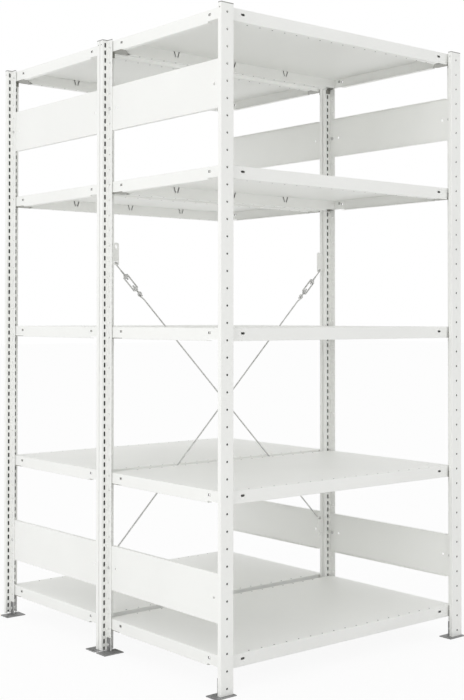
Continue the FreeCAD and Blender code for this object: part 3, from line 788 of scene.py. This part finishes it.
def buckle_end(s, way):
    """Drilled end block of a turnbuckle, with a short boss on its inner side.

    The outline is a fifth-power superellipse about the rod. The profile's rows are a
    radius and a height in mm: up the bore, over the boss, along the inner face and
    round the outer edge."""
    angle = once_round(BLOCK_SIDES)
    wide = np.abs(np.cos(angle)) / (BUCKLE_W / 2)
    deep = np.abs(np.sin(angle)) / (BUCKLE_V / 2)
    outline = (wide ** 5 + deep ** 5) ** -0.2
    bore = BUCKLE_BORE_R + 0 * angle
    boss = np.minimum(BUCKLE_BORE_R + 1.9 * MM, outline - 0.2 * MM)
    rows = [
        (bore, 0.4), (bore, 8.1), (bore + 0.4 * MM, 8.5), (boss - 0.4 * MM, 8.5), (boss, 8.1),
        (boss, 5.9), (np.minimum(boss + 0.6 * MM, outline - 0.2 * MM), 5.5),
        (outline - 0.9 * MM, 5.5), (outline - 0.25 * MM, 5.2), (outline, 4.5),
        (outline, 1.0), (outline - 0.25 * MM, 0.3), (outline - 0.9 * MM, 0.0),
        (bore + 0.4 * MM, 0.0),
    ]
    radius = np.concatenate([row[0] for row in rows])
    height = np.array([row[1] for row in rows])[:, None] * MM + 0 * angle
    local = revolved(radius, height, angle)
    placed = (
        on_line(s, ROD_OFF)
        + local[:, :, :1] * LINE_SIDE + local[:, :, 1:2] * ACROSS_GAP
        + local[:, :, 2:] * LINE_AXIS * way
    )
    return skin(placed, ring=True)


def buckle_bar(way):
    """Side bar of a turnbuckle: a rounded flat section, a little slimmer at mid length."""
    along = np.linspace(0, 1, 25)[:, None]
    angle = once_round(32)
    waist = 1 - 0.1 * np.sin(np.pi * along) ** 2
    across = np.sign(np.cos(angle)) * np.abs(np.cos(angle)) ** 0.5 * BUCKLE_BAR / 2 * waist
    deep = np.sign(np.sin(angle)) * np.abs(np.sin(angle)) ** 0.5 * (BUCKLE_V - 0.6 * MM) / 2 * waist
    s = BUCKLE_S0 + 2 * MM + along * (BUCKLE_S1 - BUCKLE_S0 - 4 * MM)
    middle = way * (BUCKLE_W - BUCKLE_BAR - 0.4 * MM) / 2
    grid = (
        on_line(s[:, 0], np.full(len(s), ROD_OFF))[:, None, :]
        + (middle + across)[:, :, None] * LINE_SIDE + deep[:, :, None] * ACROSS_GAP
    )
    return skin(grid)


def turnbuckle_shape():
    """Open turnbuckle: two drilled end blocks and two side bars."""
    return joined(
        buckle_end(BUCKLE_S0, 1), buckle_end(BUCKLE_S1, -1), buckle_bar(1), buckle_bar(-1)
    )


def piece(name, shape, material, body, slot, *nodes):
    """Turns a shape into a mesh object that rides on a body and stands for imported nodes."""
    points, quads, triangles = shape
    points = points - ORIGIN
    corners = np.concatenate([triangles.ravel(), quads.ravel()]).astype(np.int32)
    starts = np.concatenate([
        3 * np.arange(len(triangles)), 3 * len(triangles) + 4 * np.arange(len(quads)),
    ]).astype(np.int32)
    mesh = bpy.data.meshes.new(name)
    mesh.vertices.add(len(points))
    mesh.vertices.foreach_set("co", points.astype(np.float32).ravel())
    mesh.loops.add(len(corners))
    mesh.loops.foreach_set("vertex_index", corners)
    mesh.polygons.add(len(starts))
    mesh.polygons.foreach_set("loop_start", starts)
    mesh.polygons.foreach_set("use_smooth", np.ones(len(starts), dtype=bool))
    mesh.update(calc_edges=True)
    if mesh.validate():
        raise RuntimeError("the surface of " + name + " had faults")
    mesh.set_sharp_from_angle(angle=math.radians(SHARP_ANGLE))
    mesh.materials.append(material)
    made = bpy.data.objects.new(name, mesh)
    bpy.context.scene.collection.objects.link(made)
    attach(made, body)
    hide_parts(*nodes)
    return made


# ---- operators ----

POSTS = [row + "_" + side for row in ROW_NAMES for side in SIDES]
HEIGHTS = ("upper", "lower")


class SHELVING_OT_posts(Operator):
    """Powder-coats the eight perforated posts and their webs"""

    bl_idname = "shelving.posts"
    bl_label = "Posts"

    def execute(self, context):
        paint = context.scene.shelving.paint
        # The posts' hollow flanges get near-black painted shade.
        material = powder_coat(
            "post_powder_coat", paint, shade_in_hollow_posts, paint.inside, grey_top_band, paint.top_band_grey
        )
        finished(material, "post_webs", *["post_" + post for post in POSTS])
        return {"FINISHED"}


class SHELVING_OT_feet(Operator):
    """Gives the eight foot plates their dark zinc"""

    bl_idname = "shelving.feet"
    bl_label = "Foot plates"

    def execute(self, context):
        metal = context.scene.shelving.metal
        material = zinc_sheet("foot_dark_zinc", metal.foot_colour, metal.spangle, 0.55, 0.5)
        finished(material, *["foot_" + post for post in POSTS])
        return {"FINISHED"}


class SHELVING_OT_shelves(Operator):
    """Powder-coats the ten folded shelves"""

    bl_idname = "shelving.shelves"
    bl_label = "Shelves"

    def execute(self, context):
        paint = context.scene.shelving.paint
        for level, top in zip(LEVELS, SHELF_TOPS):
            # Each level's material darkens its punched holes with painted shade.
            material = powder_coat(
                "shelf_%d_powder_coat" % level, paint, edge=shade_of_shelf_holes(top),
                edge_colour=paint.punched,
            )
            finished(material, *["shelf_%s_%d" % (bay, level) for bay in BAYS])
        return {"FINISHED"}


class SHELVING_OT_clips(Operator):
    """Galvanises the shelf clips"""

    bl_idname = "shelving.clips"
    bl_label = "Shelf clips"

    def execute(self, context):
        metal = context.scene.shelving.metal
        material = zinc_sheet("clip_galvanised", metal.clip_colour, metal.spangle, 0.8, 0.42)
        finished(material, *["clips_%s_%d" % (bay, level) for bay in BAYS for level in LEVELS])
        return {"FINISHED"}


class SHELVING_OT_panels(Operator):
    """Powder-coats the end frames' side panels and the brace plates"""

    bl_idname = "shelving.panels"
    bl_label = "Side panels and brace plates"

    def execute(self, context):
        material = powder_coat("panel_powder_coat", context.scene.shelving.paint)
        panels = [
            "side_panel_%s_%s_%s" % (height, bay, side)
            for height in HEIGHTS for bay in BAYS for side in SIDES
        ]
        plates = ["brace_plate_%s_%s" % (height, side) for height in HEIGHTS for side in SIDES]
        finished(material, *panels, *plates)
        return {"FINISHED"}


class SHELVING_OT_screws(Operator):
    """Makes the cross-recess screws and the nuts of the panels and the feet"""

    bl_idname = "shelving.screws"
    bl_label = "Screws and nuts"

    def execute(self, context):
        sizes = context.scene.shelving.fastener
        heights = np.array(PANEL_HEIGHTS)
        v = np.array([face + facing * SCREW_V for face, facing in ROWS])
        panel_v, panel_z = (spread.ravel() for spread in np.meshgrid(v, heights))
        panel_grip = WEB_RIGHT + PANEL_SHEET - WEB_LEFT
        foot_grip = WEB_RIGHT + EAR_SHEET - WEB_LEFT
        right = np.array([1.0, 0.0, 0.0])

        def along(u, v, z):
            return np.stack([np.full(len(v), u), v, np.broadcast_to(z, v.shape)], axis=-1)

        def set_of(shape_of, lift):
            panel = shape_of(panel_grip)
            foot = shape_of(foot_grip)
            left_u = WEB_LEFT + lift * panel_grip
            foot_u = WEB_LEFT - EAR_SHEET + lift * foot_grip
            far_u = LENGTH - WEB_RIGHT - EAR_SHEET + lift * foot_grip
            ear_z = np.array(EAR_HEIGHT)
            return joined(
                repeated(panel, along(left_u, panel_v, panel_z), np.tile(right, (8, 1))),
                repeated(panel, along(LENGTH - left_u, panel_v, panel_z), np.tile(-right, (8, 1))),
                repeated(foot, along(foot_u, v, ear_z), np.tile(right, (4, 1))),
                repeated(foot, along(far_u, v, ear_z), np.tile(right, (4, 1))),
            )

        reach = sizes.nut_height + PAST_NUT
        material = plated_steel(
            "fastener_zinc", context.scene.shelving.metal.fastener_colour, 0.75, 0.36
        )
        screws = set_of(lambda grip: screw_shape(grip + reach, sizes), 0)
        piece("screw_set", screws, material, "frame", "fastener_steel", "frame_screws")
        nuts = set_of(lambda grip: nut_shape(sizes.nut_height, sizes, sizes.thread / 2), 1)
        piece("nut_set", nuts, material, "frame", "fastener_steel", "frame_nuts")
        return {"FINISHED"}


class SHELVING_OT_brace(Operator):
    """Makes the two crossed brace lines: hooked rods, turnbuckles, eye bolts and long rods"""

    bl_idname = "shelving.brace"
    bl_label = "Cross brace"

    def execute(self, context):
        sizes = context.scene.shelving.fastener
        metal = context.scene.shelving.metal
        rod = plated_steel("rod_zinc", metal.rod_colour, 0.6, 0.42)
        cast = plated_steel("turnbuckle_zinc", metal.rod_colour, 0.6, 0.5, 0.05)
        lines = (
            ("hooked_rod", hooked_rod_shape(sizes), rod, "frame", "brace_hook_rod_"),
            ("turnbuckle_frame", turnbuckle_shape(), cast, "turnbuckle_frame_", "turnbuckle_"),
            ("eye_bolt", eye_bolt_shape(sizes), rod, "frame", "brace_eye_bolt_"),
            ("long_rod", long_rod_shape(), rod, "frame", "brace_long_rod_"),
        )
        for name, shape, material, body, node in lines:
            for letter, placed in (("a", shape), ("b", half_turned(shape))):
                rides_on = body + letter if body.endswith("_") else body
                piece(name + "_" + letter, placed, material, rides_on, "rod_steel", node + letter)
        starts = np.array([BUCKLE_S0 - LOCK_NUT_GAP - LOCK_NUT_T, BUCKLE_S1 + LOCK_NUT_GAP])
        nuts = repeated(
            nut_shape(LOCK_NUT_T, sizes, sizes.thread / 2), on_line(starts, np.full(2, ROD_OFF)),
            np.tile(LINE_AXIS, (2, 1)),
        )
        nuts = joined(nuts, half_turned(nuts))
        piece("lock_nut_set", nuts, rod, "frame", "fastener_steel", "turnbuckle_nuts")
        return {"FINISHED"}


class SHELVING_OT_stage(Operator):
    """Makes the floor, the backdrop light, the lamps and the camera"""

    bl_idname = "shelving.stage"
    bl_label = "Stage"

    def execute(self, context):
        scene = context.scene
        stage = scene.shelving.stage
        scene.view_settings.view_transform = "Standard"

        mesh = bpy.data.meshes.new("floor")
        corners = ((-1, -1), (1, -1), (1, 1), (-1, 1))
        mesh.from_pydata(
            [(x * FLOOR_REACH, y * FLOOR_REACH, -FLOOR_DROP) for x, y in corners],
            [], [(0, 1, 2, 3)],
        )
        finish = Finish("floor_pale")
        grain = finish.noise(0.08, 3.0)
        tone = finish.mixed(grain, rgba(stage.floor_colour, 0.99), rgba(stage.floor_colour, 1.01))
        matt = finish.node("ShaderNodeBsdfDiffuse", None, {"Color": tone})
        glow = finish.node("ShaderNodeEmission", None, {"Color": (1, 1, 1, 1), "Strength": 1.0})
        white = finish.seen() * stage.floor_glow
        mixed = finish.node(
            "ShaderNodeMixShader", None, {0: white, 1: matt.outputs[0], 2: glow.outputs[0]}
        )
        finish.node("ShaderNodeOutputMaterial", None, {"Surface": mixed.outputs[0]})
        mesh.materials.append(finish.material)
        floor = bpy.data.objects.new("floor", mesh)
        scene.collection.objects.link(floor)

        sky = Finish("soft_sky", bpy.data.worlds)
        x, y, z = sky.axes()
        right, left, rear, above, shown = (
            sky.node(
                "ShaderNodeBackground", None, {"Color": (1, 1, 1, 1), "Strength": strength}
            ).outputs[0]
            for strength in (
                stage.sky_right, stage.sky_left, stage.sky_rear, stage.sky_above, 1.0
            )
        )
        sides = sky.node("ShaderNodeMixShader", None, {0: (1 - x) * 0.5, 1: right, 2: left})
        around = sky.node(
            "ShaderNodeMixShader", None, {0: y.ramped(0.3, 0.95), 1: sides.outputs[0], 2: rear}
        )
        lit = sky.node(
            "ShaderNodeMixShader", None, {0: z.ramped(0.2, 0.8), 1: around.outputs[0], 2: above}
        )
        mixed = sky.node(
            "ShaderNodeMixShader", None, {0: sky.seen(), 1: lit.outputs[0], 2: shown}
        )
        sky.node("ShaderNodeOutputWorld", None, {"Surface": mixed.outputs[0]})
        scene.world = sky.material

        lamps = (
            ("left_lamp", stage.left_lamp, (-5.8, -2.5, 2.3), (0.0, 0.0, 1.1), 3.0),
            ("front_lamp", stage.front_lamp, (0.2, -7.0, 1.5), (0.0, 0.0, 1.0), 3.0),
        )
        for name, power, place, target, size in lamps:
            lamp = bpy.data.lights.new(name, "AREA")
            lamp.energy = power
            lamp.shape = "SQUARE"
            lamp.size = size
            holder = bpy.data.objects.new(name, lamp)
            towards = np.array(target) - np.array(place)
            turn = Vector(towards).to_track_quat("-Z", "Y").to_matrix().to_4x4()
            holder.matrix_world = Matrix.Translation(place) @ turn
            scene.collection.objects.link(holder)

        lens = bpy.data.cameras.new("camera")
        lens.sensor_width = SENSOR_W
        lens.lens = FOCAL_LENGTH
        lens.shift_x, lens.shift_y = SHIFT
        lens.clip_end = FAR_CLIP
        eye = bpy.data.objects.new("camera", lens)
        eye.matrix_world = (
            Matrix.Translation(EYE_PLACE)
            @ Matrix.Rotation(EYE_HEADING, 4, "Z")
            @ Matrix.Rotation(math.pi / 2 + EYE_TILT, 4, "X")
            @ Matrix.Rotation(EYE_ROLL, 4, "Z")
        )
        scene.collection.objects.link(eye)
        scene.camera = eye
        return {"FINISHED"}


class SHELVING_PT_sidebar(Panel):
    """Lists the pieces of the shelving and their settings"""

    bl_idname = "SHELVING_PT_sidebar"
    bl_label = "Library Shelving"
    bl_space_type = "VIEW_3D"
    bl_region_type = "UI"
    bl_category = "Shelving"

    def draw(self, context):
        settings = context.scene.shelving
        for title, group in (
            ("Paint", settings.paint), ("Metal", settings.metal),
            ("Fasteners", settings.fastener), ("Stage", settings.stage),
        ):
            box = self.layout.box()
            box.label(text=title)
            for name in group.__annotations__:
                box.prop(group, name)
        for operator in OPERATORS:
            self.layout.operator(operator.bl_idname)


OPERATORS = (
    SHELVING_OT_posts, SHELVING_OT_feet, SHELVING_OT_shelves, SHELVING_OT_clips,
    SHELVING_OT_panels, SHELVING_OT_screws, SHELVING_OT_brace, SHELVING_OT_stage,
)
CLASSES = (
    SHELVING_PaintSettings, SHELVING_MetalSettings, SHELVING_FastenerSettings,
    SHELVING_StageSettings, SHELVING_Settings,
) + OPERATORS + (SHELVING_PT_sidebar,)


def register():
    for cls in CLASSES:
        bpy.utils.register_class(cls)
    bpy.types.Scene.shelving = PointerProperty(type=SHELVING_Settings)


def unregister():
    del bpy.types.Scene.shelving
    for cls in reversed(CLASSES):
        bpy.utils.unregister_class(cls)


def main():
    register()
    for operator in OPERATORS:
        group, name = operator.bl_idname.split(".")
        getattr(getattr(bpy.ops, group), name)()


if __name__ == "__main__":
    main()
